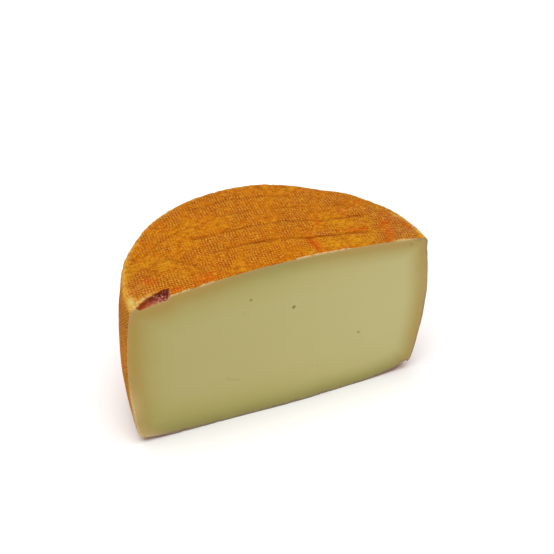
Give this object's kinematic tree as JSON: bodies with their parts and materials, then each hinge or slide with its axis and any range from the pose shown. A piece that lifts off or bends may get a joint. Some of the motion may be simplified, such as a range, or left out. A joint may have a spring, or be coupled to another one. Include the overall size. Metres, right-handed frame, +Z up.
{
  "type": "half cheese wheel",
  "caption": "Half of a round pressed cheese with a cloth-marked orange rind, crowned top and bulging heel, standing on its base with the cut face in front.",
  "frame": {"origin": "middle of the bounding box, on the surface that the cheese stands on", "axes": "+Z up along the wheel's axis; +X along the cut, to the right as the cut face is looked at; +Y away from the cut face, towards the heel. The wheel's axis is at y = -0.05 m, in the cut face"},
  "size_m": [0.2, 0.1, 0.1145],
  "materials": {
    "cheese": "semi-matt pale yellow paste with a thin orange-brown rind printed with cloth weave"
  },
  "bodies": {
    "root": {"cheese_half_wheel": "cheese"}
  },
  "joints": []
}
